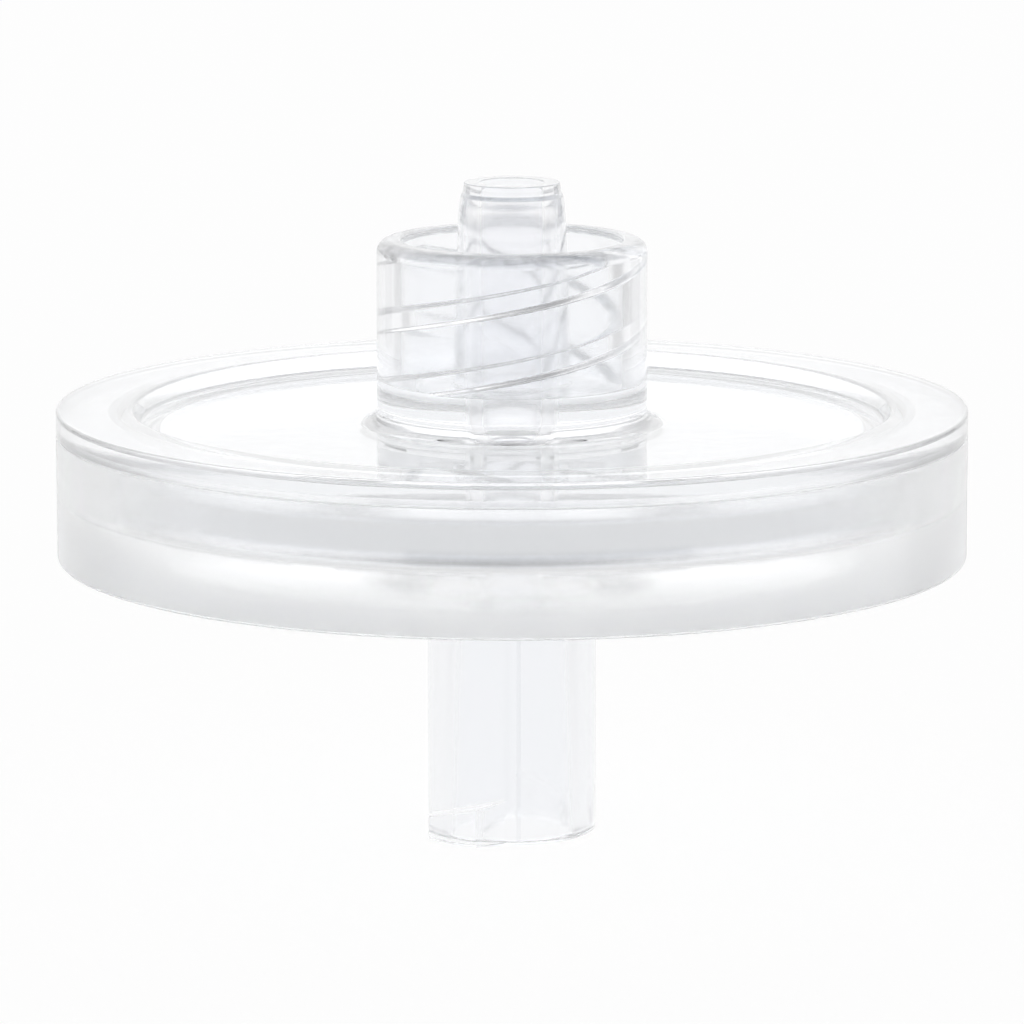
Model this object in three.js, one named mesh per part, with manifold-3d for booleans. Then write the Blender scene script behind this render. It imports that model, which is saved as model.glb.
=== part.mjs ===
// A disposable syringe filter: a flat, clear, two-piece housing with a white filter membrane
// clamped inside. The lid carries a male luer cone in a threaded locking collar, and the cup
// carries a female luer tube with two locking lugs.
//
// Millimetres, +Z up along the flow axis. The origin is the centre of the tube's end face, on
// which the filter stands, and the tube's first lug faces -Y, a little to the left of it.

import * as THREE from "three";
import { mergeVertices } from "three/addons/utils/BufferGeometryUtils.js";
import Module from "manifold-3d";

// ---------------------------------------------------------------- driving dimensions

// Disc, which the lid and the cup make together.
const disc_radius = 16.5;
const disc_height = 5.44;
const disc_edge_chamfer = 0.13;

// Lid.
const flange_thickness = 0.87;      // its rim, which lies on the cup's wall
const rim_width = 2.75;             // flat ring round the dish in the top face
const recess_depth = 0.6;
const recess_draft = 0.3;           // how far the dish narrows on its way down
const recess_edge_radius = 0.2;
const plate_thickness = 1.1;        // between the dish and the chamber
const chamber_depth = 1.5;          // open space above the membrane
const plug_width = 1.35;            // ring that reaches into the cup and holds the membrane
const plug_foot_chamfer = 0.12;     // on the foot's outer edge
const plug_foot_bevel = 0.3;        // on its inner edge

// Locking collar, on the lid.
const collar_bore_radius = 4.0;     // at the thread's root
const collar_wall = 0.9;
const collar_height = 6.66;         // from the dish to the lip
const collar_floor_height = 1.45;   // solid foot, from the dish to the collar's floor
const collar_lip_radius = 0.5;      // rounding of the lip's outer edge
const collar_foot_radius = 0.65;    // fillet between the collar and the dish
const collar_mouth_chamfer = 0.1;

// Two-start right-hand thread in the collar.
const thread_lead = 5.0;
const thread_starts = 2;
const thread_height = 0.5;
const thread_root_width = 0.92;     // on the bore
const thread_crest_width = 0.56;
const thread_front_height = 4.91;   // first ridge's middle above the dish, at the side facing -Y
const thread_mouth = 0.55;          // plain length between the thread's end and the lip

// Male luer cone, in the collar.
const cone_tip_radius = 1.735;      // flat end face
const cone_land_radius = 1.78;      // foot of the narrow land below the end face
const cone_land_length = 0.36;
const cone_shoulder_radius = 1.85;  // edge of the step below the land
const cone_shoulder_length = 0.48;  // from the end face, as are the next two
const cone_cheek_radius = 1.908;    // half-way along the rounding below the step
const cone_cheek_length = 0.8;
const cone_nose_radius = 1.945;     // where that rounding meets the taper
const cone_nose_length = 1.2;
const cone_reach = 2.06;            // how far the tip stands out of the collar
const luer_taper = 0.06;            // loss of diameter for each unit of length
const cone_bore_radius = 1.15;      // at the end face
const cone_bore_end_radius = 1.05;  // at the chamber

// Cup.
const cup_wall = 2.2;
const plug_clearance = 0.05;        // all round the lid's plug
const seam_clearance = 0.02;        // where the flange lies on the cup's wall
const cup_mouth_chamfer = 0.3;      // lead-in for the plug
const drain_depth = 0.3;            // shallow dish under the membrane
const ledge_overlap = 0.5;          // how far the membrane's ledge reaches in past the plug
const drain_rib_count = 12;
const drain_rib_angle = 6;          // that each rib's wedge spans
const drain_rib_inner_radius = 2.4;
const drain_port_radius = 1.0;

// Female luer tube, on the cup.
const tube_radius = 3.07;
const tube_length = 10.26;
const tube_edge_radius = 0.12;
const tube_foot_radius = 0.4;
const socket_mouth_radius = 2.15;
const socket_mouth_chamfer = 0.15;
const socket_depth = 8.6;

// Locking lugs at the tube's end. Angles are measured about +Z from the side facing -Y.
const lug_count = 2;
const lug_reach = 0.59;             // out from the tube
const lug_height = 1.41;            // at the end of the full-height part
const lug_start_angle = -56;
const lug_end_angle = -21;
const lug_ramp_angle = 17;          // over which each end fades into the tube
const lug_lead = 5.0;               // its top face climbs like the mating thread

// Membrane.
const membrane_thickness = 0.15;
const membrane_clearance = 0.02;    // above and below, between the plug and the cup's ledge
const membrane_inset = 0.1;         // from the cup's inner wall

// How finely round shapes are cut.
const round_segments = 64;
const thread_step_angle = 9;
const lug_step_angle = 4;
const weld_depth = 0.15;            // how far a ridge is sunk into the wall that carries it

// ---------------------------------------------------------------- levels and radii they give

const recess_radius = disc_radius - rim_width;
const cup_bore_radius = disc_radius - cup_wall;
const plug_radius = cup_bore_radius - plug_clearance;
const chamber_radius = plug_radius - plug_width;
const drain_radius = chamber_radius - ledge_overlap;
const collar_radius = collar_bore_radius + collar_wall;

const disc_bottom = tube_length;
const disc_top = disc_bottom + disc_height;
const seam_height = disc_top - flange_thickness;
const dish_height = disc_top - recess_depth;
const chamber_top = dish_height - plate_thickness;
const plug_foot = chamber_top - chamber_depth;
const membrane_top = plug_foot - membrane_clearance;
const membrane_bottom = membrane_top - membrane_thickness;
const ledge_height = membrane_bottom - membrane_clearance;
const collar_floor = dish_height + collar_floor_height;
const collar_lip = dish_height + collar_height;
const cone_tip = collar_lip + cone_reach;
const cone_nose = cone_tip - cone_nose_length;
const cone_root_radius = cone_nose_radius + ((cone_nose - collar_floor) * luer_taper) / 2;
const socket_end_radius = socket_mouth_radius - (socket_depth * luer_taper) / 2;

// ---------------------------------------------------------------- geometry helpers

const wasm = await Module();
wasm.setup();

// Points of an arc in the half-plane of radius and height, from one angle to the other.
function arc(centre_radius, centre_height, arc_radius, from_degrees, to_degrees, steps) {
  const points = [];
  for (let step = 0; step <= steps; step += 1) {
    const degrees = from_degrees + ((to_degrees - from_degrees) * step) / steps;
    const angle = THREE.MathUtils.degToRad(degrees);
    const radius = centre_radius + arc_radius * Math.cos(angle);
    const height = centre_height + arc_radius * Math.sin(angle);
    points.push([radius, height]);
  }
  return points;
}

// A body of revolution about +Z. The outline runs anticlockwise in the half-plane of radius and
// height, and is closed on itself unless it starts and ends on the axis.
function revolve(outline) {
  const on_axis = outline[0][0] === 0;
  const closed = on_axis ? outline : [...outline, outline[0]];
  const points = closed.map(([radius, height]) => new THREE.Vector2(radius, height));
  return new THREE.LatheGeometry(points, round_segments).rotateX(Math.PI / 2);
}

// A ridge carried round +Z: section_at(degrees) gives the same number of [radius, height] corners,
// anticlockwise, at each angle from the side facing -Y.
function ridge(section_at, from_degrees, to_degrees, step_degrees) {
  const steps = Math.ceil((to_degrees - from_degrees) / step_degrees);
  const corners = section_at(from_degrees).length;
  const positions = [];
  for (let step = 0; step <= steps; step += 1) {
    const degrees = from_degrees + ((to_degrees - from_degrees) * step) / steps;
    const angle = THREE.MathUtils.degToRad(degrees);
    for (const [radius, height] of section_at(degrees)) {
      positions.push(radius * Math.sin(angle), -radius * Math.cos(angle), height);
    }
  }
  const triangles = [];
  for (let step = 0; step < steps; step += 1) {
    for (let corner = 0; corner < corners; corner += 1) {
      const here = step * corners + corner;
      const beside = step * corners + ((corner + 1) % corners);
      triangles.push(here, here + corners, beside + corners, here, beside + corners, beside);
    }
  }
  const last = steps * corners;
  for (let corner = 1; corner < corners - 1; corner += 1) {
    triangles.push(0, corner, corner + 1, last, last + corner + 1, last + corner);
  }
  const geometry = new THREE.BufferGeometry();
  geometry.setAttribute("position", new THREE.Float32BufferAttribute(positions, 3));
  geometry.setIndex(triangles);
  return geometry;
}

// A closed geometry as a solid for joining and cutting.
function solid(geometry) {
  const bare = geometry.clone();
  bare.deleteAttribute("normal");
  bare.deleteAttribute("uv");
  const merged = mergeVertices(bare);
  return new wasm.Manifold(new wasm.Mesh({
    numProp: 3,
    vertProperties: new Float32Array(merged.attributes.position.array),
    triVerts: new Uint32Array(merged.index.array),
  }));
}

// A solid back as a geometry.
function geometry_of(body) {
  const mesh = body.getMesh();
  const geometry = new THREE.BufferGeometry();
  geometry.setAttribute("position", new THREE.Float32BufferAttribute(mesh.vertProperties, 3));
  geometry.setIndex(new THREE.Uint32BufferAttribute(mesh.triVerts, 1));
  geometry.computeVertexNormals();
  return geometry;
}

function piece(name, geometry, material) {
  const mesh = new THREE.Mesh(geometry, material);
  mesh.name = name;
  return mesh;
}

// ---------------------------------------------------------------- lid

// Flange, dish, collar and cone down the outside, then the bore, the chamber and the plug.
function lid_outline() {
  const edge = recess_edge_radius;
  const foot = collar_foot_radius;
  const lip = collar_lip_radius;
  return [
    [disc_radius, seam_height],
    [disc_radius, disc_top - disc_edge_chamfer],
    [disc_radius - disc_edge_chamfer, disc_top],
    ...arc(recess_radius + edge, disc_top - edge, edge, 90, 165, 3),
    [recess_radius - recess_draft, dish_height],
    ...arc(collar_radius + foot, dish_height + foot, foot, 270, 180, 4),
    ...arc(collar_radius - lip, collar_lip - lip, lip, 0, 90, 4),
    [collar_bore_radius + collar_mouth_chamfer, collar_lip],
    [collar_bore_radius, collar_lip - collar_mouth_chamfer],
    [collar_bore_radius, collar_floor],
    [cone_root_radius, collar_floor],
    [cone_nose_radius, cone_nose],
    [cone_cheek_radius, cone_tip - cone_cheek_length],
    [cone_shoulder_radius, cone_tip - cone_shoulder_length],
    [cone_land_radius, cone_tip - cone_land_length],
    [cone_tip_radius, cone_tip],
    [cone_bore_radius, cone_tip],
    [cone_bore_end_radius, chamber_top],
    [chamber_radius, chamber_top],
    [chamber_radius, plug_foot + plug_foot_bevel],
    [chamber_radius + plug_foot_bevel, plug_foot],
    [plug_radius - plug_foot_chamfer, plug_foot],
    [plug_radius, plug_foot + plug_foot_chamfer],
    [plug_radius, seam_height],
  ];
}

// One of the collar's thread ridges, from under the collar's floor to its plain mouth.
function thread_ridge(start_index) {
  const start_turn = start_index / thread_starts;
  const middle_at = (degrees) =>
    dish_height + thread_front_height + (degrees / 360 - start_turn) * thread_lead;
  const degrees_at = (height) =>
    ((height - dish_height - thread_front_height) / thread_lead + start_turn) * 360;
  const flank_slope = (thread_root_width - thread_crest_width) / thread_height;
  const sunk_width = thread_root_width + flank_slope * weld_depth;
  const section_at = (degrees) => {
    const middle = middle_at(degrees);
    const root = collar_bore_radius + weld_depth;
    const crest = collar_bore_radius - thread_height;
    return [
      [root, middle - sunk_width / 2],
      [root, middle + sunk_width / 2],
      [crest, middle + thread_crest_width / 2],
      [crest, middle - thread_crest_width / 2],
    ];
  };
  const top = collar_lip - thread_mouth;
  const from_degrees = degrees_at(collar_floor - thread_root_width / 4);
  const to_degrees = degrees_at(top + thread_root_width / 2);
  const whole = solid(ridge(section_at, from_degrees, to_degrees, thread_step_angle));
  const keep = solid(new THREE.CylinderGeometry(collar_radius, collar_radius, top, round_segments)
    .rotateX(Math.PI / 2)
    .translate(0, 0, top / 2));
  return whole.intersect(keep);
}

function lid_geometry() {
  let body = solid(revolve(lid_outline()));
  for (let start_index = 0; start_index < thread_starts; start_index += 1) {
    body = body.add(thread_ridge(start_index));
  }
  return geometry_of(body);
}

// ---------------------------------------------------------------- cup

// Tube and disc up the outside, then the bore for the plug, the ledge, the drain and the socket.
function cup_outline() {
  const wall_top = seam_height - seam_clearance;
  const drain_floor = ledge_height - drain_depth;
  const edge = tube_edge_radius;
  const foot = tube_foot_radius;
  return [
    [socket_mouth_radius + socket_mouth_chamfer, 0],
    ...arc(tube_radius - edge, edge, edge, 270, 360, 3),
    ...arc(tube_radius + foot, disc_bottom - foot, foot, 180, 90, 3),
    [disc_radius - disc_edge_chamfer, disc_bottom],
    [disc_radius, disc_bottom + disc_edge_chamfer],
    [disc_radius, wall_top],
    [cup_bore_radius + cup_mouth_chamfer, wall_top],
    [cup_bore_radius, wall_top - cup_mouth_chamfer],
    [cup_bore_radius, ledge_height],
    [drain_radius, ledge_height],
    [drain_radius, drain_floor],
    [drain_port_radius, drain_floor],
    [drain_port_radius, socket_depth],
    [socket_end_radius, socket_depth],
    [socket_mouth_radius, socket_mouth_chamfer],
  ];
}

// One of the wedges that hold the membrane up off the drain's floor, level with the ledge.
function drain_rib(rib_index) {
  const foot = ledge_height - drain_depth - weld_depth;
  const section = [
    [drain_rib_inner_radius, foot],
    [drain_radius + weld_depth, foot],
    [drain_radius + weld_depth, ledge_height],
    [drain_rib_inner_radius, ledge_height],
  ];
  const middle = (360 * rib_index) / drain_rib_count;
  const half = drain_rib_angle / 2;
  return solid(ridge(() => section, middle - half, middle + half, half));
}

// One of the tube's locking lugs. It stands at its full radius between its ramps, and its top
// face climbs towards +angle.
function lug(lug_index) {
  const turn = (360 * lug_index) / lug_count;
  const section_at = (degrees) => {
    const angle = degrees - turn;
    const before = (angle - (lug_start_angle - lug_ramp_angle)) / lug_ramp_angle;
    const after = (lug_end_angle + lug_ramp_angle - angle) / lug_ramp_angle;
    const rise = THREE.MathUtils.clamp(Math.min(before, after), 0, 1);
    const outer = tube_radius + lug_reach * rise - (weld_depth / 2) * (1 - rise);
    const top = lug_height + (lug_lead * (angle - lug_end_angle)) / 360;
    return [
      [tube_radius - 2 * weld_depth, 0],
      [outer, 0],
      [outer, top],
      [tube_radius - 2 * weld_depth, top],
    ];
  };
  const from_degrees = turn + lug_start_angle - lug_ramp_angle;
  const to_degrees = turn + lug_end_angle + lug_ramp_angle;
  return solid(ridge(section_at, from_degrees, to_degrees, lug_step_angle));
}

function cup_geometry() {
  let body = solid(revolve(cup_outline()));
  for (let rib_index = 0; rib_index < drain_rib_count; rib_index += 1) {
    body = body.add(drain_rib(rib_index));
  }
  for (let lug_index = 0; lug_index < lug_count; lug_index += 1) {
    body = body.add(lug(lug_index));
  }
  return geometry_of(body);
}

// ---------------------------------------------------------------- membrane

function membrane_geometry() {
  const membrane_radius = cup_bore_radius - membrane_inset;
  return revolve([
    [0, membrane_bottom],
    [membrane_radius, membrane_bottom],
    [membrane_radius, membrane_top],
    [0, membrane_top],
  ]);
}

// ---------------------------------------------------------------- assembly

const lid_plastic = new THREE.MeshStandardMaterial({ color: 0xeef2f6, roughness: 0.08, metalness: 0 });
const cup_plastic = new THREE.MeshStandardMaterial({ color: 0xe6eaee, roughness: 0.2, metalness: 0 });
const membrane_white = new THREE.MeshStandardMaterial({ color: 0xf7f7f5, roughness: 0.85, metalness: 0 });

const filter = new THREE.Group();
filter.name = "syringe_filter";
filter.add(piece("upper_housing", lid_geometry(), lid_plastic));
filter.add(piece("lower_housing", cup_geometry(), cup_plastic));
filter.add(piece("membrane", membrane_geometry(), membrane_white));

export default filter;
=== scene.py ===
# %% [markdown]
# # A clear syringe filter
#
# The object is a disposable laboratory filter: a flat clear lid and a flat clear cup, welded
# together round a white membrane. The lid carries a male luer cone inside a threaded locking
# collar. The cup carries a female luer tube with two small locking lugs at its mouth.
#
# Clear plastic shows every facet of a mesh twice, once on its way in and once on its way out.
# So the three CAD solids stay in the model for their sizes and for physics, and each is covered
# by a smooth surface of the same dimensions, worked out with numpy as a grid of rows and columns.

# %% The frame: the CAD model, loaded as it is
import math

import bmesh
import bpy
import numpy as np
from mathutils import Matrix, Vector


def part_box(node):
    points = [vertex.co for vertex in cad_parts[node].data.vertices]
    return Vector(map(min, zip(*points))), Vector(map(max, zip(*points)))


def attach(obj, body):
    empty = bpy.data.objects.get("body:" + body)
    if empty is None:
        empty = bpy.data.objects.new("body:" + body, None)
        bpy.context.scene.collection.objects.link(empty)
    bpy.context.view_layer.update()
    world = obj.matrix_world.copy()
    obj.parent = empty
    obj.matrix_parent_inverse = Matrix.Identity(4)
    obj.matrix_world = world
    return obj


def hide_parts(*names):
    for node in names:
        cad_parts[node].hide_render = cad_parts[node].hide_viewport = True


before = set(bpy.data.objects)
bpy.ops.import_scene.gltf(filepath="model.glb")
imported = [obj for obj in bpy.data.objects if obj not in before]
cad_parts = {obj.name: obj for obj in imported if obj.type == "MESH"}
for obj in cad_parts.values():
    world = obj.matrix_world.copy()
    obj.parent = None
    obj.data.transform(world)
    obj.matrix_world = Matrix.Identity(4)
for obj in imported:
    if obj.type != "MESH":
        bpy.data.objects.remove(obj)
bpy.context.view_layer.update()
print("CAD nodes:", sorted(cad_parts))

# %% [markdown]
# ## Sizes
#
# Everything that the CAD boxes can tell is read from them: the disc's radius and the levels of
# its parts. The rest are the same driving dimensions as the CAD model's, in millimetres. Turns
# are degrees about +Z from the side facing -Y, where the camera stands.

# %% Sizes from the frame, and the driving dimensions that boxes can't tell
MM = 0.001

lid_low, lid_high = (np.array(corner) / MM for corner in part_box("upper_housing"))
_, cup_high = (np.array(corner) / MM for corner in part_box("lower_housing"))
membrane_low, membrane_high = (np.array(corner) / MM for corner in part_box("membrane"))

disc_radius = lid_high[0]
cone_tip = lid_high[2]
plug_foot = lid_low[2]
cup_wall_top = cup_high[2]

disc_bottom = 10.26
disc_top = disc_bottom + 5.44
seam_height = disc_top - 0.87
dish_height = disc_top - 0.6
chamber_top = dish_height - 1.1

cup_bore_radius = disc_radius - 2.2
plug_radius = cup_bore_radius - 0.05
chamber_radius = plug_radius - 1.35
recess_radius = disc_radius - 2.75
recess_draft = 0.3
print("disc radius", disc_radius, "cone tip at", cone_tip, "chamber radius", round(chamber_radius, 3))

# %% [markdown]
# ## A revolved surface as a grid
#
# A moulded round part is a profile turned about an axis, and its details, such as a thread, a
# lug or a rib, are places where that profile is pushed in or out. So each housing is held as two
# tables, the radius and the height of every grid point, with a row for each point of the profile
# and a column for each angle. A detail is then one line of arithmetic on a table.
#
# Moulded edges are never knife sharp. The profile is written as corners, each with the radius of
# its own rounding, and a helper replaces every corner by an arc that touches both of its edges.

# %% Rounded profiles
HOLD = 0.012              # mm from an arc's end to the point that holds the flat face flat
COARSE_STEP = 30          # degrees between the points of a small rounding
FINE_STEP = 11            # and of one that is large enough to be seen as a curve
SMALL_ROUNDING = 0.3


def corner_arc(before, corner, after, rounding):
    """Points of the arc of that radius which touches both edges of the corner.

    The arc's centre lies on the corner's bisector, rounding / cos(turn / 2) from the corner, and
    its ends lie rounding * tan(turn / 2) along each edge. A point just outside each end holds the
    flat face next to it flat, because smooth shading averages the faces that meet at a point.
    """
    if rounding == 0:
        return corner[None]
    back = (before - corner) / np.linalg.norm(before - corner)
    ahead = (after - corner) / np.linalg.norm(after - corner)
    turn = math.pi - math.acos(np.clip(back @ ahead, -1, 1))
    bisector = (back + ahead) / np.linalg.norm(back + ahead)
    centre = corner + bisector * rounding / math.cos(turn / 2)
    reach = rounding * math.tan(turn / 2)
    start = corner + back * reach - centre
    side = np.sign(back[1] * ahead[0] - back[0] * ahead[1])
    step = FINE_STEP if rounding > SMALL_ROUNDING else COARSE_STEP
    steps = math.ceil(math.degrees(turn) / step)
    angles = np.linspace(0, side * turn, steps + 1)[:, None]
    across = np.array([-start[1], start[0]])
    arc = centre + start * np.cos(angles) + across * np.sin(angles)
    return np.concatenate([[corner + back * (reach + HOLD)], arc, [corner + ahead * (reach + HOLD)]])


def rounded_profile(corners):
    """The closed profile, anticlockwise, as rows of (radius, height).

    Each corner is (radius, height, rounding, rows), where rows is how many grid rows the straight
    edge that follows it is cut into.
    """
    points = np.array([corner[:2] for corner in corners], dtype=float)
    arcs = [
        corner_arc(points[i - 1], points[i], points[(i + 1) % len(points)], corner[2])
        for i, corner in enumerate(corners)
    ]
    pieces = []
    for i, arc in enumerate(arcs):
        following = arcs[(i + 1) % len(arcs)][0]
        shares = np.arange(1, corners[i][3])[:, None] / corners[i][3]
        pieces += [arc, arc[-1] + (following - arc[-1]) * shares]
    return np.concatenate(pieces)


# %% The grid, and the mesh made from it
COLUMNS = 360
SHARP_ANGLE = 32          # degrees between two faces from which their edge is shaded sharp
column_degrees = np.arange(COLUMNS) * 360 / COLUMNS
print("columns:", COLUMNS, "of", 360 / COLUMNS, "degrees")


def as_grid(profile):
    """Radius and height tables of a profile turned about the axis: rows by columns."""
    radius = np.repeat(profile[:, :1], COLUMNS, axis=1)
    height = np.repeat(profile[:, 1:], COLUMNS, axis=1)
    return radius, height


def from_middle(degrees, middle, period=360):
    """Angles measured from a middle, wrapped to half a period on each side of it."""
    return (degrees - middle + period / 2) % period - period / 2


def merge_poles(mesh):
    """Joins the points that lie on the axis into one at each pole."""
    working = bmesh.new()
    working.from_mesh(mesh)
    bmesh.ops.remove_doubles(working, verts=working.verts, dist=1e-7)
    working.to_mesh(mesh)
    working.free()


def surface(name, radius, height, closed=True):
    """A mesh piece from the tables of radius and height.

    Point (row, column) lies at (r sin a, -r cos a, h). Rows join to the next row, and the last
    to the first if the profile is closed; columns always join round. A row of radius 0 is a pole,
    where the quads become triangles.
    """
    angle = np.radians(column_degrees)
    points = np.stack([radius * np.sin(angle), -radius * np.cos(angle), height], axis=-1)
    rows = len(radius)
    row = np.arange(rows if closed else rows - 1)[:, None]
    column = np.arange(COLUMNS)[None, :]
    beside = (column + 1) % COLUMNS
    above = (row + 1) % rows
    corners = (
        row * COLUMNS + column,
        row * COLUMNS + beside,
        above * COLUMNS + beside,
        above * COLUMNS + column,
    )
    faces = np.stack(corners, axis=-1).reshape(-1, 4)
    mesh = bpy.data.meshes.new(name)
    mesh.from_pydata((points.reshape(-1, 3) * MM).tolist(), [], faces.tolist())
    if not closed:
        merge_poles(mesh)
    mesh.shade_smooth()
    mesh.set_sharp_from_angle(angle=math.radians(SHARP_ANGLE))
    piece = bpy.data.objects.new(name, mesh)
    bpy.context.scene.collection.objects.link(piece)
    print(name, "has", len(mesh.loops) - 2 * len(mesh.polygons), "triangles")
    return piece


# %% [markdown]
# ## The lid
#
# The lid is one moulding. Its profile runs anticlockwise: out and up over the flange and the
# flat rim, down into the dish, up the collar and over its lip, down the collar's bore, up the
# cone and over its tip, down through the flow bore into the chamber, and round the ring that
# reaches into the cup.
#
# The locking thread has two starts and a lead of 5 mm, and it is right-handed. In the grid it is
# a ridge on the collar's bore: a point is pushed inwards when its height is near the height that
# the helix has at its angle.

# %% Lid profile
collar_bore_radius = 4.0
collar_radius = collar_bore_radius + 0.9
collar_floor = dish_height + 1.45
collar_lip = dish_height + 6.66
thread_top = collar_lip - 0.55
thread_mouth_slope = 0.05

land_radius = 1.735       # at the tip's flat end
land_foot_radius = 1.78
land_length = 0.36        # from the tip, as are the next three
shoulder_length = 0.48
cheek_length = 0.8
nose_length = 1.2
shoulder_radius = 1.85
cheek_radius = 1.908
nose_radius = 1.945
cone_nose = cone_tip - nose_length
luer_taper = 0.06
cone_root_radius = nose_radius + (cone_nose - collar_floor) * luer_taper / 2
cone_bore_radius = 1.15
cone_bore_end_radius = 1.05

THREAD_ROWS = 120

lid_corners = [
    (disc_radius, seam_height, 0.04, 1),
    (disc_radius, disc_top, 0.1, 1),
    (recess_radius, disc_top, 0.22, 1),
    (recess_radius - recess_draft, dish_height, 0.12, 5),
    (collar_radius, dish_height, 0.65, 4),
    (collar_radius, collar_lip, 0.5, 1),
    (collar_bore_radius, collar_lip, 0.1, 1),
    (collar_bore_radius, thread_top, 0, 2),
    (collar_bore_radius, thread_top - thread_mouth_slope, 0, THREAD_ROWS),
    (collar_bore_radius, collar_floor, 0.05, 1),
    (cone_root_radius, collar_floor, 0.1, 2),
    (nose_radius, cone_nose, 2.5, 1),
    (cheek_radius, cone_tip - cheek_length, 1.0, 1),
    (shoulder_radius, cone_tip - shoulder_length, 0.12, 1),
    (land_foot_radius, cone_tip - land_length, 0.03, 1),
    (land_radius, cone_tip, 0.03, 1),
    (cone_bore_radius, cone_tip, 0.05, 12),
    (cone_bore_end_radius, chamber_top, 0.1, 1),
    (chamber_radius, chamber_top, 0.15, 1),
    (chamber_radius, plug_foot, 0.35, 1),
    (plug_radius, plug_foot, 0.12, 1),
    (plug_radius, seam_height, 0.05, 1),
]
lid_radius, lid_height = as_grid(rounded_profile(lid_corners))
print("lid grid", lid_radius.shape)

# %% Lid thread
thread_lead = 5.0
thread_pitch = thread_lead / 2
thread_depth = 0.5
thread_root_half = 0.46
thread_crest_half = 0.28
thread_front = dish_height + 4.91
helix = thread_front + thread_lead * column_degrees / 360

FLANK_MARGIN = 0.04       # mm on each side of a flank that still gets crowded rows
FLANK_CROWDING = 8        # how many more rows a flank gets, for the same height
HEIGHT_SAMPLES = 6001     # for the adding-up of row density
ROWS_ABOVE = 4            # rows of the bore above the crowded ones that the ridge also moves
ROWS_BELOW = 6
SINKING = 0.002           # mm by which each row past the thread's end lies deeper


def between(table, low, high):
    """Where the values of a table lie between two limits."""
    return (table > low) & (table < high)


def smooth_step(value):
    """0 below 0, 1 above 1, and an S curve, 3 v^2 - 2 v^3, between."""
    clipped = np.clip(value, 0, 1)
    return clipped * clipped * (3 - 2 * clipped)


def to_ridge(above_helix):
    """Distance to the middle of the nearest ridge, from the height above the helix."""
    return np.abs(from_middle(above_helix, 0, thread_pitch))


def thread_ridge(height):
    """How far the thread stands out at each grid point, from 0 at its root to 1 at its crest."""
    flank = (thread_root_half - to_ridge(height - helix)) / (thread_root_half - thread_crest_half)
    mouth = (thread_top - height) / thread_mouth_slope
    return smooth_step(flank) * np.clip(mouth, 0, 1)


def crowded_heights(top, bottom, rows):
    """Heights of the rows from top to bottom at each column, close together on the flanks.

    Rows are spaced evenly in an adding-up of row density along the height above the helix. The
    density is 1, and higher where the distance to a ridge's middle is a flank's.
    """
    above = np.linspace(-3 * thread_lead, 3 * thread_lead, HEIGHT_SAMPLES)
    flank = between(
        to_ridge(above),
        thread_crest_half - FLANK_MARGIN,
        thread_root_half + FLANK_MARGIN,
    )
    travelled = np.cumsum(1 + FLANK_CROWDING * flank)
    start = np.interp(top - helix, above, travelled)
    end = np.interp(bottom - helix, above, travelled)
    share = np.linspace(0, 1, rows)[:, None]
    return helix + np.interp(start + (end - start) * share, travelled, above)


thread_start = int(np.argmin(np.abs(lid_height[:, 0] - (thread_top - thread_mouth_slope))))
thread_end = thread_start + THREAD_ROWS
thread_bottom = lid_height[thread_end - 1, 0]
lid_height[thread_start:thread_end] = crowded_heights(
    lid_height[thread_start, 0], thread_bottom, THREAD_ROWS
)

bore_rows = slice(thread_start - ROWS_ABOVE, thread_end + ROWS_BELOW)
crest_limit = collar_bore_radius - thread_depth * thread_ridge(lid_height[bore_rows])
past_end = np.clip(np.arange(len(crest_limit)) - THREAD_ROWS - ROWS_ABOVE, 0, None)
crest_limit -= SINKING * past_end[:, None]
lid_radius[bore_rows] = np.minimum(lid_radius[bore_rows], crest_limit)
lid = surface("lid", lid_radius, lid_height)
print("thread stands out by", round(float(thread_ridge(lid_height[bore_rows]).max()) * thread_depth, 3))

# %% [markdown]
# ## The cup
#
# The cup is one moulding too: the wall, a thick bottom, and the tube that a syringe plugs into.
# Two details break its roundness. The lugs at the tube's mouth are parts of a thread, so their
# top faces climb with the same lead as the collar's, and the grid rows there are sheared to
# climb with them. Under the membrane, twelve wedges stand up from a shallow drain.

# %% Cup profile
tube_radius = 3.07
tube_edge_rounding = 0.12
lug_rows_end = 3.0        # up to here the rows of the tube climb with the lugs
socket_mouth_radius = 2.15
socket_depth = 8.6
socket_end_radius = socket_mouth_radius - socket_depth * luer_taper / 2
drain_radius = chamber_radius - 0.5
drain_rib_inner_radius = 2.4
drain_port_radius = 1.0
ledge_height = membrane_low[2] - 0.02
drain_floor = ledge_height - 0.3
mouth_lead_in = 0.3       # chamfer of the cup's mouth, for the lid's plug

LUG_ROWS = 16

cup_corners = [
    (socket_mouth_radius, 0, 0.12, 1),
    (tube_radius, 0, tube_edge_rounding, LUG_ROWS),
    (tube_radius, lug_rows_end, 0, 3),
    (tube_radius, disc_bottom, 0.4, 3),
    (disc_radius, disc_bottom, 0.13, 2),
    (disc_radius, cup_wall_top, 0.04, 1),
    (cup_bore_radius + mouth_lead_in, cup_wall_top, 0.03, 1),
    (cup_bore_radius, cup_wall_top - mouth_lead_in, 0.05, 1),
    (cup_bore_radius, ledge_height, 0.05, 1),
    (drain_radius, ledge_height, 0.03, 1),
    (drain_radius, drain_floor, 0.03, 3),
    (drain_rib_inner_radius, drain_floor, 0, 1),
    (drain_rib_inner_radius - 0.1, drain_floor, 0, 1),
    (drain_port_radius, drain_floor, 0.1, 2),
    (drain_port_radius, socket_depth, 0.1, 1),
    (socket_end_radius, socket_depth, 0.2, 1),
]
cup_radius, cup_height = as_grid(rounded_profile(cup_corners))
print("cup grid", cup_radius.shape)

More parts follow.
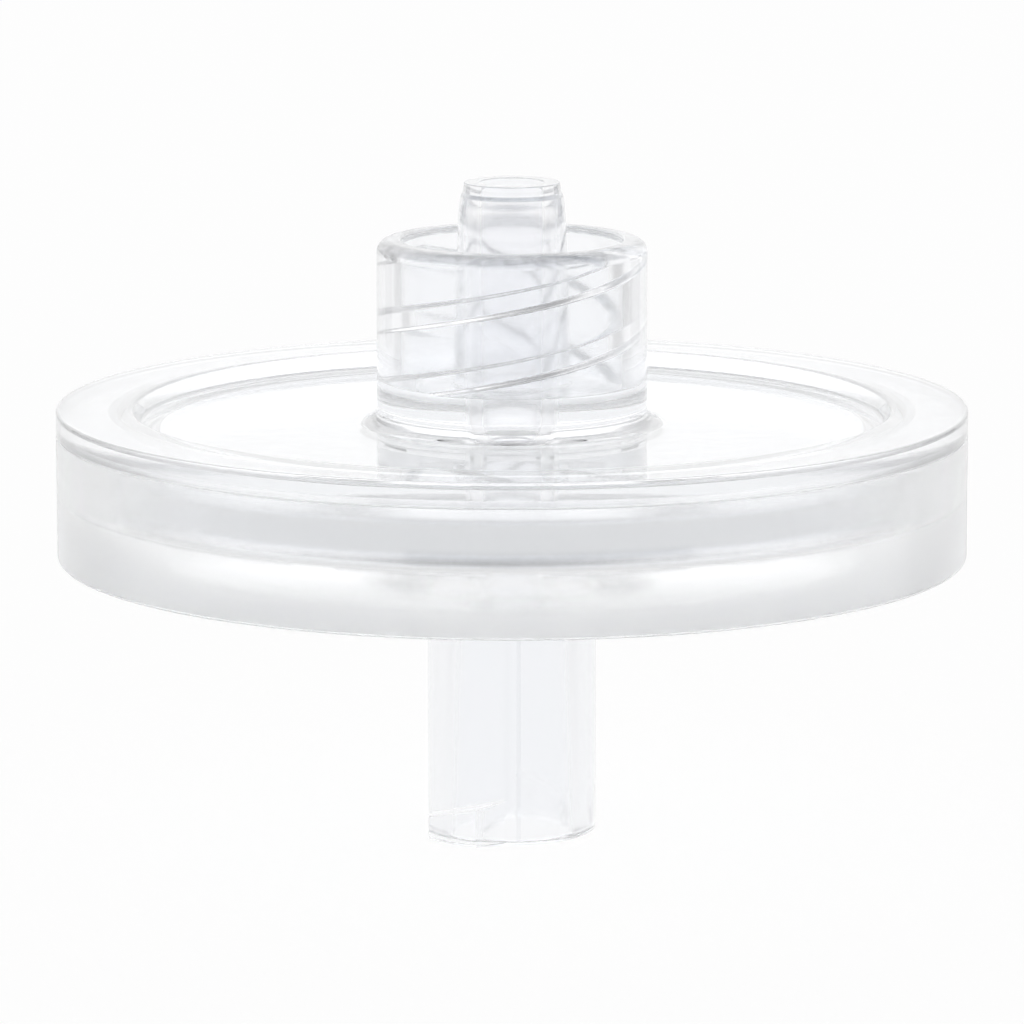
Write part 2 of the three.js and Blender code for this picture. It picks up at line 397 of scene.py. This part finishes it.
# %% Lugs at the tube's mouth: where they stand, and how high
lug_reach = 0.59
lug_height = 1.41
lug_start, lug_end, lug_ramp = -56, -21, 17
foot_start, foot_end = lug_start - lug_ramp, lug_end + lug_ramp

half_turn = from_middle(column_degrees, 0, 180)
into_ramp = np.minimum(half_turn - foot_start, foot_end - half_turn) / lug_ramp
lug_rise = np.clip(into_ramp, 0, 1)
lug_low = lug_height + thread_lead * (foot_start - lug_end) / 360
lug_high = lug_height + thread_lead * lug_ramp / 360
lug_top = np.interp(
    half_turn,
    [foot_start, foot_end, foot_start + 180],
    [lug_low, lug_high, lug_low],
    period=180,
)
print("lug top from", round(lug_top.min(), 2), "to", round(lug_top.max(), 2))

# %% The lug's section, from the tube's rounded mouth up
# Its side, its rounded top edge, its top face, its rounded foot and the tube's wall above. out is
# the share of the reach at each row, and up is the height above the lug's top.
lug_edge = 0.1
lug_draft = 0.05          # how far the top face climbs towards the tube
foot_share = 0.13         # of the reach, taken by the foot's rounding
foot_height = 0.075
quarter = np.radians(np.linspace(0, 90, 4))
out = np.concatenate([
    [1, 1, 1],
    1 - lug_edge / lug_reach * (1 - np.cos(quarter)),
    [0.55, 0.25],
    foot_share * (1 - np.sin(quarter)),
    [0, 0],
])
up = np.concatenate([
    [0, 0, 0],
    lug_edge * (np.sin(quarter) - 1),
    [lug_draft * 0.4, lug_draft * 0.7],
    lug_draft + foot_height * (1 - np.cos(quarter)),
    [0, 0],
])
side_share = np.array([0, 0.5, 0.97])[:, None]
wall_share = np.array([0.35, 0.7])[:, None]

# %% Lugs pressed into the grid
on_wall = (cup_radius[:, 0] == tube_radius) & (cup_height[:, 0] > tube_edge_rounding)
lug_first = int(np.argmax(on_wall))
mouth_height = cup_height[lug_first, 0]
lug_heights = lug_top + up[:, None]
lug_heights[:3] = mouth_height + (lug_top - lug_edge - mouth_height) * side_share
lug_heights[-2:] = lug_heights[-3] + (lug_rows_end - lug_heights[-3]) * wall_share
lug_rows = slice(lug_first, lug_first + len(out))
cup_height[lug_rows] = lug_heights
cup_radius[lug_rows] = tube_radius + lug_reach * lug_rise * out[:, None]

# The end face of the tube widens with the lugs, from a ring near the socket out to the edge.
MOUTH_ROWS = 5
ring_offset, ring_width = 0.15, 0.6
mouth_rows = slice(lug_first - MOUTH_ROWS, lug_first)
outwards = (cup_radius[mouth_rows] - socket_mouth_radius - ring_offset) / ring_width
cup_radius[mouth_rows] += lug_reach * lug_rise * np.clip(outwards, 0, 1)
print("widest across the lugs:", round(2 * float(cup_radius[lug_rows].max()), 2))

# %% Parting line and drain ribs
parting_angle, parting_half_width, parting_height = 4, 1.6, 0.02
parting_turn = from_middle(column_degrees, parting_angle, 180)
parting_line = np.clip(1 - np.abs(parting_turn) / parting_half_width, 0, 1)
on_tube = (cup_radius > tube_radius - 0.01) & (cup_height < disc_bottom - 0.3)
cup_radius = cup_radius + parting_height * on_tube * parting_line

rib_spacing, rib_half_width, rib_fullness = 30, 3.5, 0.97
rib_turn = from_middle(column_degrees, 0, rib_spacing)
rib = np.clip(rib_half_width - np.abs(rib_turn), 0, 1)
in_drain = (
    between(cup_height, drain_floor - 0.01, ledge_height - 0.005)
    & between(cup_radius, drain_rib_inner_radius - 0.01, drain_radius + 0.04)
)
raised = ledge_height - (ledge_height - cup_height) * (1 - rib_fullness * rib)
cup_height = np.where(in_drain, raised, cup_height)
cup = surface("cup", cup_radius, cup_height)

# %% [markdown]
# ## The membrane
#
# The filter itself is a white disc, held by its edge between the lid's ring and the cup's ledge.
# It is a flat can: the same kind of grid, with a pole in the middle of each face.

# %% Membrane
membrane_radius = membrane_high[0]
membrane_profile = np.array([
    (0, membrane_low[2]),
    (membrane_radius, membrane_low[2]),
    (membrane_radius, membrane_high[2]),
    (0, membrane_high[2]),
])
membrane = surface("filter_membrane", *as_grid(membrane_profile), closed=False)

# %% [markdown]
# ## Each surface takes the place of a CAD solid
#
# The object has no moving parts, so every piece rides on the root body. Each surface replaces the
# solid whose dimensions it has.

# %% Which CAD solids the surfaces stand for
for piece, node, slot in (
    (lid, "upper_housing", "clear_lid_plastic"),
    (cup, "lower_housing", "hazy_cup_plastic"),
    (membrane, "membrane", "white_membrane"),
):
    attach(piece, "root")
    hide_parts(node)
    print(piece.name, "stands for", node)

# %% [markdown]
# ## Finishes of the clear plastic
#
# Both housings are one plastic with a refractive index of about 1.58, so they share one shader.
# What changes from face to face is how the steel of the mould was finished. The outside of the
# lid comes from a polished half. The thread and the collar's floor come from a core that is
# screwed out, and the flow bore from a pin, both satin. The rim comes from a spark-eroded face,
# and the weld faces were melted and set again.
#
# The colours are not quite white, and some faces are clearly grey. The thread's flanks, the
# cone's nose step and tip edge, and the collar's lip are painted grey as shade, for the dark lines
# that the plastic bends into its edges. The lip also has scuffed spots. The rim is painted darker
# towards its foot, as shade. These tints go all the way round, but for one grey stretch of the
# lid's bevel, which is described below.

# %% A shader for moulded clear plastic
IOR = 1.58
WAVE_SCALE, WAVE_DETAIL = 900, 1
SPOT_SCALE, SPOT_LOW, SPOT_HIGH = 2500, 0.4, 0.62


def plain_material(name):
    material = bpy.data.materials.new(name)
    material.use_nodes = True
    return material, material.node_tree.nodes, material.node_tree.links


def ramp(nodes, low, high, low_position=0.0, high_position=1.0):
    """A colour ramp from one colour at its low position to another at its high position."""
    shade = nodes.new("ShaderNodeValToRGB")
    for element, position, colour in zip(
        shade.color_ramp.elements, (low_position, high_position), (low, high)
    ):
        element.position = position
        element.color = (*colour, 1)
    return shade


def noise(nodes, links, place, scale, detail=2):
    """Noise in the piece's own coordinates, so that it stays with the piece when it is moved."""
    pattern = nodes.new("ShaderNodeTexNoise")
    pattern.inputs["Scale"].default_value = scale
    pattern.inputs["Detail"].default_value = detail
    links.new(place.outputs["Object"], pattern.inputs["Vector"])
    return pattern.outputs["Fac"]


def mix_in(nodes, links, share, first, second):
    """Makes a mix of two shaders the surface. share is the second's part, a number or a socket."""
    both = nodes.new("ShaderNodeMixShader")
    if isinstance(share, float):
        both.inputs[0].default_value = share
    else:
        links.new(share, both.inputs[0])
    links.new(first.outputs[0], both.inputs[1])
    links.new(second.outputs[0], both.inputs[2])
    links.new(both.outputs[0], nodes["Material Output"].inputs["Surface"])


def clear_plastic(name, colour, roughness, wave_height, scuff=0.0, milk=0.0):
    """Clear moulded plastic, with the faint waviness that a mould leaves on its faces.

    scuff is how much darker the plastic is where it is rubbed, in small cloudy spots, and milk is
    the share of the light that a melted or ground face scatters every way as it lets it through.
    """
    material, nodes, links = plain_material(name)
    shader = nodes["Principled BSDF"]
    shader.inputs["Base Color"].default_value = (*colour, 1)
    shader.inputs["Transmission Weight"].default_value = 1
    shader.inputs["IOR"].default_value = IOR
    shader.inputs["Roughness"].default_value = roughness
    place = nodes.new("ShaderNodeTexCoord")
    bump = nodes.new("ShaderNodeBump")
    bump.inputs["Distance"].default_value = wave_height
    links.new(noise(nodes, links, place, WAVE_SCALE, WAVE_DETAIL), bump.inputs["Height"])
    links.new(bump.outputs["Normal"], shader.inputs["Normal"])
    if scuff:
        worn = [part * (1 - scuff) for part in colour]
        shade = ramp(nodes, worn, colour, SPOT_LOW, SPOT_HIGH)
        links.new(noise(nodes, links, place, SPOT_SCALE), shade.inputs["Fac"])
        links.new(shade.outputs["Color"], shader.inputs["Base Color"])
    if milk:
        scatter = nodes.new("ShaderNodeBsdfTranslucent")
        scatter.inputs["Color"].default_value = (*colour, 1)
        mix_in(nodes, links, milk, shader, scatter)
    return material


def shade_by_height(material, low, high, low_colour, high_colour):
    """Colours the plastic by its height: low_colour below low, high_colour above high."""
    nodes, links = material.node_tree.nodes, material.node_tree.links
    place = nodes.new("ShaderNodeTexCoord")
    split = nodes.new("ShaderNodeSeparateXYZ")
    links.new(place.outputs["Object"], split.inputs[0])
    climb = nodes.new("ShaderNodeMapRange")
    climb.interpolation_type = "SMOOTHSTEP"
    climb.inputs["From Min"].default_value = low * MM
    climb.inputs["From Max"].default_value = high * MM
    links.new(split.outputs["Z"], climb.inputs["Value"])
    shade = ramp(nodes, low_colour, high_colour)
    links.new(climb.outputs["Result"], shade.inputs["Fac"])
    links.new(shade.outputs["Color"], nodes["Principled BSDF"].inputs["Base Color"])


# %% [markdown]
# ## Which face has which finish
#
# One piece holds all of its finishes: each face of the grid gets the number of a material, so a
# finish starts and stops exactly where a face of the mould does. The rows of a face are found by
# the radius and the height that they lie between. Most limits lie a little outside the face, so
# that the points which hold its edges are counted with it.

# %% A table of finishes
PLAIN_COLUMN = 180        # clear of the lugs and the parting lines


def rows_of(radius, height, everywhere):
    """The radius and the height of each row, and a table that gives them all the same finish."""
    row_radius, row_height = radius[:, PLAIN_COLUMN], height[:, PLAIN_COLUMN]
    return row_radius, row_height, np.full(len(row_radius), everywhere, dtype=np.int32)


def all_round(finish_of_row):
    """A table of finishes, rows by columns, from one for each row."""
    return np.repeat(finish_of_row[:, None], COLUMNS, axis=1)


def finish(piece, materials, finish_of_face):
    """Gives each face of a grid one of the materials."""
    for material in materials:
        piece.data.materials.append(material)
    piece.data.polygons.foreach_set("material_index", finish_of_face.ravel())
    piece.data.update()
    names = [material.name for material in materials]
    print(piece.name, dict(zip(names, np.bincount(finish_of_face.ravel()).tolist())))


# %% Finishes of the lid
lid_tint = (0.968, 0.975, 0.988)
lid_materials = (
    clear_plastic("polished clear plastic", lid_tint, 0.04, 1e-6),
    clear_plastic("satin face of the thread core", lid_tint, 0.15, 3e-6),
    clear_plastic("cone face", (0.99, 0.992, 1.0), 0.07, 2e-6),
    clear_plastic("melted weld face", lid_tint, 0.25, 3e-6),
    # painted shade: the lip is darker for the dark band bent into it, and the cloudy spots are scuffs
    clear_plastic("scuffed lip with painted shade", (0.87, 0.878, 0.9), 0.2, 6e-6, scuff=0.3),
    clear_plastic("satin flow bore", (0.99, 0.99, 1.0), 0.12, 3e-6, milk=0.04),
    # painted shade: grey for the dark lines that the plastic bends into its edges
    clear_plastic("painted edge shade", (0.64, 0.66, 0.69), 0.12, 4e-6),
)
POLISHED, CORE, CONE, WELD, LIP, BORE, EDGE = range(len(lid_materials))
print(len(lid_materials), "finishes of the lid")

# %% The lid's faces
row_radius, row_height, lid_rows = rows_of(lid_radius, lid_height, POLISHED)
above_floor = row_height > collar_floor - 0.1
below_seam = row_height < seam_height + 0.01
on_cone = between(row_radius, cone_bore_radius + 0.02, cone_root_radius + 0.1)
on_core = between(row_radius, cone_root_radius + 0.05, collar_bore_radius + 0.05)
on_lip = between(row_radius, collar_bore_radius + 0.1, collar_radius + 0.01)
in_bore = between(row_height, chamber_top + 0.3, cone_tip - 0.1)
lid_rows[on_cone & above_floor] = CONE
lid_rows[on_core & above_floor] = CORE
lid_rows[(row_radius > chamber_radius + 0.05) & below_seam] = WELD
lid_rows[on_lip & (row_height > collar_lip - 0.4)] = LIP
lid_rows[(row_radius < cone_bore_radius + 0.02) & in_bore] = BORE
lid_faces = all_round(lid_rows)
print("lid rows of each finish:", np.bincount(lid_rows, minlength=len(lid_materials)))

# %% Painted edge shade on the lid: the thread's flanks, the step below the land, and the tip's edge
ridge = collar_bore_radius - lid_radius
flank_foot, flank_top = 0.08, 0.42        # mm out from the collar's bore
step_top, step_bottom = 0.37, 0.51        # mm below the tip
edge_width, edge_depth = 0.029, 0.031
on_thread = between(row_height, collar_floor + 0.2, thread_top + 0.01) & (lid_rows == CORE)
on_flank = between(ridge, flank_foot, flank_top)
below_tip = cone_tip - row_height
on_nose_step = (row_radius > land_radius) & between(below_tip, step_top, step_bottom)
on_tip_edge = between(row_radius, land_radius - edge_width, land_radius + 0.01)
on_tip_edge = on_tip_edge & (below_tip < edge_depth)
# painted shade: the flanks, the nose step and the tip's edge get the grey of the edges
lid_faces[on_flank & on_thread[:, None]] = EDGE
lid_faces[on_nose_step | on_tip_edge] = EDGE
print("faces with a painted edge shade:", int(np.sum(lid_faces == EDGE)))

# %% [markdown]
# A short dark line low in the wall is made as a greyer stretch on the bevel of the lid's ring, a
# little to the right of the front, in the grey of the edges. It is part of the object and turns
# with it. Such a line may in truth be something dark that is mirrored in the wall.

# %% A greyer stretch of the lid's bevel
stretch_middle, stretch_half_width = 5, 21        # degrees
bevel = 0.36                                      # mm, a little over its rounding
on_bevel = between(row_radius, chamber_radius - 0.02, chamber_radius + bevel)
on_bevel = on_bevel & (row_height < plug_foot + bevel)
in_stretch = np.abs(from_middle(column_degrees, stretch_middle)) < stretch_half_width
lid_faces[on_bevel[:, None] & in_stretch] = EDGE
finish(lid, lid_materials, lid_faces)

# %% Finishes of the cup
cup_tint = (0.987, 0.991, 0.998)
# painted shade: the colour of the rim's foot, darker than the rest
rim_foot_painted_shade = (0.93, 0.935, 0.947)
cup_materials = (
    clear_plastic("hazy clear plastic", cup_tint, 0.12, 4e-6),
    clear_plastic("frosted inner face", cup_tint, 0.5, 6e-6, milk=0.4),
    clear_plastic("melted weld face of the cup", cup_tint, 0.2, 3e-6, milk=0.08),
    clear_plastic("satin underside", cup_tint, 0.3, 3e-6),
    clear_plastic("satin socket", (0.98, 0.985, 0.995), 0.2, 3e-6),
    clear_plastic("satin tube", (0.92, 0.928, 0.944), 0.12, 4e-6),
    clear_plastic("spark-eroded rim face with painted shade", cup_tint, 0.21, 4e-6),
    clear_plastic("parting line", (0.84, 0.85, 0.87), 0.15, 4e-6),
)
HAZY, FROST, MELTED, UNDER, SOCKET, TUBE, RIM, PARTING = range(len(cup_materials))
# painted shade: the rim grows darker from rim_high down to its foot at rim_low
rim_low, rim_high = ledge_height - 0.4, ledge_height + 1.2
shade_by_height(cup_materials[RIM], rim_low, rim_high, rim_foot_painted_shade, cup_tint)
print(len(cup_materials), "finishes of the cup")

# %% The cup's faces
row_radius, row_height, cup_rows = rows_of(cup_radius, cup_height, HAZY)
inside_bore = row_radius < cup_bore_radius - 0.1
in_wall = between(row_radius, cup_bore_radius - 0.1, disc_radius - 0.1)
on_tube_wall = between(row_radius, tube_radius - 0.1, tube_radius + 0.1)
cup_rows[(row_height > drain_floor - 0.02) & inside_bore] = FROST
cup_rows[(row_height > ledge_height - 0.01) & in_wall] = MELTED
cup_rows[(row_radius > tube_radius + 0.6) & (row_height < disc_bottom + 0.02)] = UNDER
cup_rows[(row_radius < socket_mouth_radius + 0.02) & (row_height < socket_depth + 0.1)] = SOCKET
cup_rows[on_tube_wall & (row_height < disc_bottom - 0.4)] = TUBE
cup_rows[row_radius > disc_radius - 0.2] = RIM
cup_faces = all_round(cup_rows)
cup_faces[on_tube & (parting_line > 0.3)] = PARTING
finish(cup, cup_materials, cup_faces)

# %% [markdown]
# ## The membrane's finish
#
# The membrane is a thin white sheet full of pores. It is matt, and light comes through it, so
# its shader is a mix of a rough surface and a translucent one. The pores are far too small to
# model: fine noise makes the white a little uneven.

# %% The membrane's material
PORE_SCALE, PORE_DETAIL, PORE_LOW, PORE_HIGH = 9000, 4, 0.35, 0.6
see_through = 0.45
material, nodes, links = plain_material("white membrane")
place = nodes.new("ShaderNodeTexCoord")
shade = ramp(nodes, (0.96, 0.96, 0.955), (0.99, 0.99, 0.985), PORE_LOW, PORE_HIGH)
links.new(noise(nodes, links, place, PORE_SCALE, PORE_DETAIL), shade.inputs["Fac"])
front = nodes["Principled BSDF"]
front.inputs["Roughness"].default_value = 0.9
front.inputs["Specular IOR Level"].default_value = 0.1
through = nodes.new("ShaderNodeBsdfTranslucent")
links.new(shade.outputs["Color"], front.inputs["Base Color"])
links.new(shade.outputs["Color"], through.inputs["Color"])
mix_in(nodes, links, see_through, front, through)
membrane.data.materials.append(material)
print(material.name, "lets through", see_through)

# %% [markdown]
# ## The floor
#
# Clear plastic looks like what is behind it, so the floor has to be white both to the camera and
# to rays that come through or off the object. It is a matt white that also glows by itself for
# those rays alone. The glow is a little short of whole, which keeps the object's faint shadow.

# %% Floor
def matt(nodes, shade, roughness):
    """Makes the material a matt grey of that shade, with no gloss."""
    shader = nodes["Principled BSDF"]
    shader.inputs["Base Color"].default_value = (shade, shade, shade, 1)
    shader.inputs["Roughness"].default_value = roughness
    shader.inputs["Specular IOR Level"].default_value = 0
    return shader


def math_node(nodes, links, operation, first, second):
    """A node that works out one sum. Each of the two values is a number or a socket."""
    node = nodes.new("ShaderNodeMath")
    node.operation = operation
    for socket, value in zip(node.inputs, (first, second)):
        if isinstance(value, (int, float)):
            socket.default_value = value
        else:
            links.new(value, socket)
    return node.outputs[0]


floor_half, floor_shade, floor_glow = 3, 0.96, 0.95
floor_mesh = bpy.data.meshes.new("floor")
floor_corners = [(-1, -1), (1, -1), (1, 1), (-1, 1)]
floor_mesh.from_pydata([(x * floor_half, y * floor_half, 0) for x, y in floor_corners], [], [(0, 1, 2, 3)])
floor = bpy.data.objects.new("floor", floor_mesh)
bpy.context.scene.collection.objects.link(floor)
material, nodes, links = plain_material("white floor")
floor_mesh.materials.append(material)
rays = nodes.new("ShaderNodeLightPath").outputs
glow = nodes.new("ShaderNodeEmission")
glow.inputs["Strength"].default_value = 1
seen = math_node(nodes, links, "MAXIMUM", rays["Is Camera Ray"], rays["Is Glossy Ray"])
seen = math_node(nodes, links, "MAXIMUM", seen, rays["Is Transmission Ray"])
share = math_node(nodes, links, "MULTIPLY", seen, floor_glow)
mix_in(nodes, links, share, matt(nodes, floor_shade, 1), glow)
print("floor is", 2 * floor_half, "m wide")

# %% [markdown]
# ## Cards and sky
#
# In a room that is white all round, clear plastic has no outline. So a studio has dark cards
# just outside the view and a ceiling that is left dark, and the plastic bends thin dark lines
# from them into its edges. Here four cards stand behind the object: a dark one and a grey one
# level with the collar, and below each of them a pale one, which shades the tube. The sky
# carries the rest: dark patches overhead, a weaker one in front, and a soft box behind.
#
# Rays straight from the camera skip all of this and see plain white.

# %% Cards
CARD_DISTANCE = 0.12      # metres, as are the cards' other sizes
CARD_ROUGHNESS = 0.9


def card(name, turn, half_width, low_edge, height, shade):
    """A standing card that faces the axis, hidden from the camera but seen through the plastic."""
    turn = math.radians(turn)
    across = np.array([math.cos(turn), math.sin(turn), 0])
    middle = np.array([math.sin(turn), -math.cos(turn), 0]) * CARD_DISTANCE
    low = [middle - across * half_width, middle + across * half_width]
    high = [point + np.array([0, 0, height]) for point in low]
    mesh = bpy.data.meshes.new(name)
    mesh.from_pydata([point.tolist() for point in (*low, *high)], [], [(0, 1, 3, 2)])
    standing = bpy.data.objects.new(name, mesh)
    bpy.context.scene.collection.objects.link(standing)
    standing.location = (0, 0, low_edge)
    standing.visible_camera = False
    material, nodes, _ = plain_material(name)
    matt(nodes, shade, CARD_ROUGHNESS)
    mesh.materials.append(material)
    print(name, "from", low_edge, "to", round(low_edge + height, 3), "m above the floor")


card("black card", 128, 0.024, 0.014, 0.014, 0.02)
card("grey card", -127, 0.02, 0.014, 0.018, 0.35)
card("low right card", 128, 0.02, 0.0, 0.01, 0.75)
card("low left card", -128, 0.014, 0.0, 0.01, 0.8)

# %% Directions and patches of the sky
world = bpy.data.worlds.new("studio")
world.use_nodes = True
bpy.context.scene.world = world
nodes, links = world.node_tree.nodes, world.node_tree.links
direction = nodes.new("ShaderNodeTexCoord")


def towards(turn, elevation):
    """Unit vector at a turn about +Z from the side facing -Y, and an elevation, in degrees."""
    turn, elevation = math.radians(turn), math.radians(elevation)
    level = math.cos(elevation)
    return (math.sin(turn) * level, -math.cos(turn) * level, math.sin(elevation))


def vector_node(operation, vector, value=None):
    """A node that works on a vector, with a second vector of plain numbers if it needs one."""
    node = nodes.new("ShaderNodeVectorMath")
    node.operation = operation
    links.new(vector, node.inputs[0])
    if value is not None:
        node.inputs[1].default_value = value
    return node.outputs


def patch(turn, elevation, half_angle, softness, stretch=(1, 1, 1)):
    """1 inside a round patch of the sky and 0 outside, by the dot product with its middle.

    The patch is wider where stretch is small: the direction and the middle are both scaled by it.
    """
    middle = np.array(towards(turn, elevation)) * np.array(stretch)
    middle = middle / np.linalg.norm(middle)
    scaled = vector_node("MULTIPLY", direction.outputs["Generated"], stretch)
    unit = vector_node("NORMALIZE", scaled[0])
    closeness = vector_node("DOT_PRODUCT", unit[0], middle)
    edge = nodes.new("ShaderNodeMapRange")
    edge.interpolation_type = "SMOOTHSTEP"
    outer, inner = half_angle + softness, max(half_angle - softness, 0)
    edge.inputs["From Min"].default_value = math.cos(math.radians(outer))
    edge.inputs["From Max"].default_value = math.cos(math.radians(inner))
    links.new(closeness["Value"], edge.inputs["Value"])
    print("sky patch at", turn, elevation, "degrees, half angle", half_angle)
    return edge.outputs["Result"]


def sky(operation, first, second):
    return math_node(nodes, links, operation, first, second)


# %% Light
SKY_LEVEL = 1.09
WIDE = (0.6, 1, 1)
flag = sky("MULTIPLY", patch(0, 33, 24, 9, WIDE), 0.6)
ceiling = sky("MULTIPLY", patch(-90, 84, 22, 6), 0.95)
upper = sky("MULTIPLY", patch(0, 90, 42, 7), 0.65)
dark = sky("MAXIMUM", flag, sky("MAXIMUM", ceiling, upper))
softbox = sky("MULTIPLY", patch(180, 34, 22, 12, WIDE), 0.25)
strength = sky("SUBTRACT", sky("ADD", softbox, SKY_LEVEL), dark)
rays = nodes.new("ShaderNodeLightPath").outputs
strength = sky("MAXIMUM", strength, rays["Is Camera Ray"])
links.new(strength, nodes["Background"].inputs["Strength"])
nodes["Background"].inputs["Color"].default_value = (1, 1, 1, 1)

# %% [markdown]
# ## The camera
#
# A long lens 227 mm away looks down by about ten degrees, which shows the flat rim as a narrow
# ellipse. Light bounces many times inside clear plastic, so the paths may be long. The sky and
# the floor are found by the paths themselves, with no extra rays aimed at them: that is twice as
# fast here, and hardly noisier, because almost every direction is bright.

# %% Camera
camera_distance = 0.2267
camera_elevation = math.radians(10.25)
aim_height = 0.01173
camera_data = bpy.data.cameras.new("camera")
camera_data.sensor_width = 36
camera_data.lens = 219.2
camera_data.clip_start = 0.01
camera = bpy.data.objects.new("camera", camera_data)
camera.location = (
    0,
    -camera_distance * math.cos(camera_elevation),
    aim_height + camera_distance * math.sin(camera_elevation),
)
camera.rotation_euler = (math.pi / 2 - camera_elevation, 0, 0)
scene = bpy.context.scene
scene.collection.objects.link(camera)
scene.camera = camera
scene.view_settings.view_transform = "Standard"
print("camera at", [round(part, 4) for part in camera.location])

# %% Paths of light
CLEAR_BOUNCES, MATT_BOUNCES = 24, 8
scene.cycles.max_bounces = CLEAR_BOUNCES
scene.cycles.transmission_bounces = CLEAR_BOUNCES
scene.cycles.glossy_bounces = CLEAR_BOUNCES
scene.cycles.diffuse_bounces = MATT_BOUNCES
scene.cycles.blur_glossy = 0
world.cycles.sampling_method = "NONE"
for material in bpy.data.materials:
    material.cycles.emission_sampling = "NONE"
print("bounces:", CLEAR_BOUNCES, "through clear plastic,", MATT_BOUNCES, "off matt faces")
